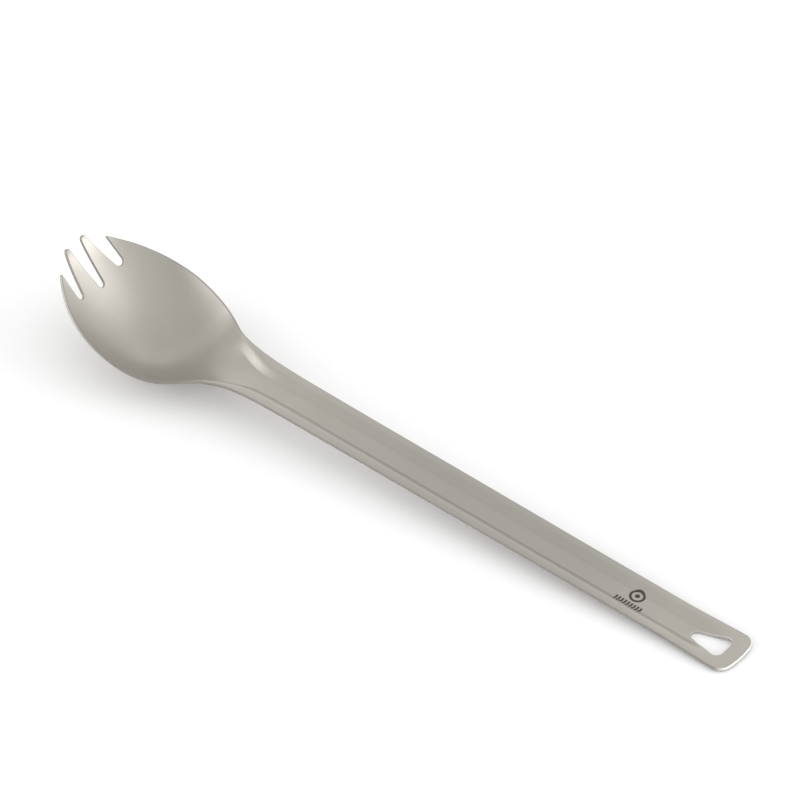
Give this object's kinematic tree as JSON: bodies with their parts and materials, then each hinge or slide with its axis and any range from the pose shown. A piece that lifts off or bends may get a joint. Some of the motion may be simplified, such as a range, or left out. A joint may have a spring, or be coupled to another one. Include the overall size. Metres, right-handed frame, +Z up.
{
  "type": "long-handled spork",
  "caption": "One-piece stamped metal spork with an oval bowl ending in tines, a long channelled handle and a hanging hole at its flat end.",
  "frame": {"origin": "on the table under the middle of the spork's bounding box, as it lies on its bowl and handle end", "axes": "+X along the spork from the tines towards the handle end, +Y across it, +Z up from the table"},
  "size_m": [0.2202, 0.0394, 0.0237],
  "materials": {
    "titanium": "bead-blasted bare titanium with softly polished cut edges"
  },
  "bodies": {
    "root": {"spork": "titanium"}
  },
  "joints": []
}
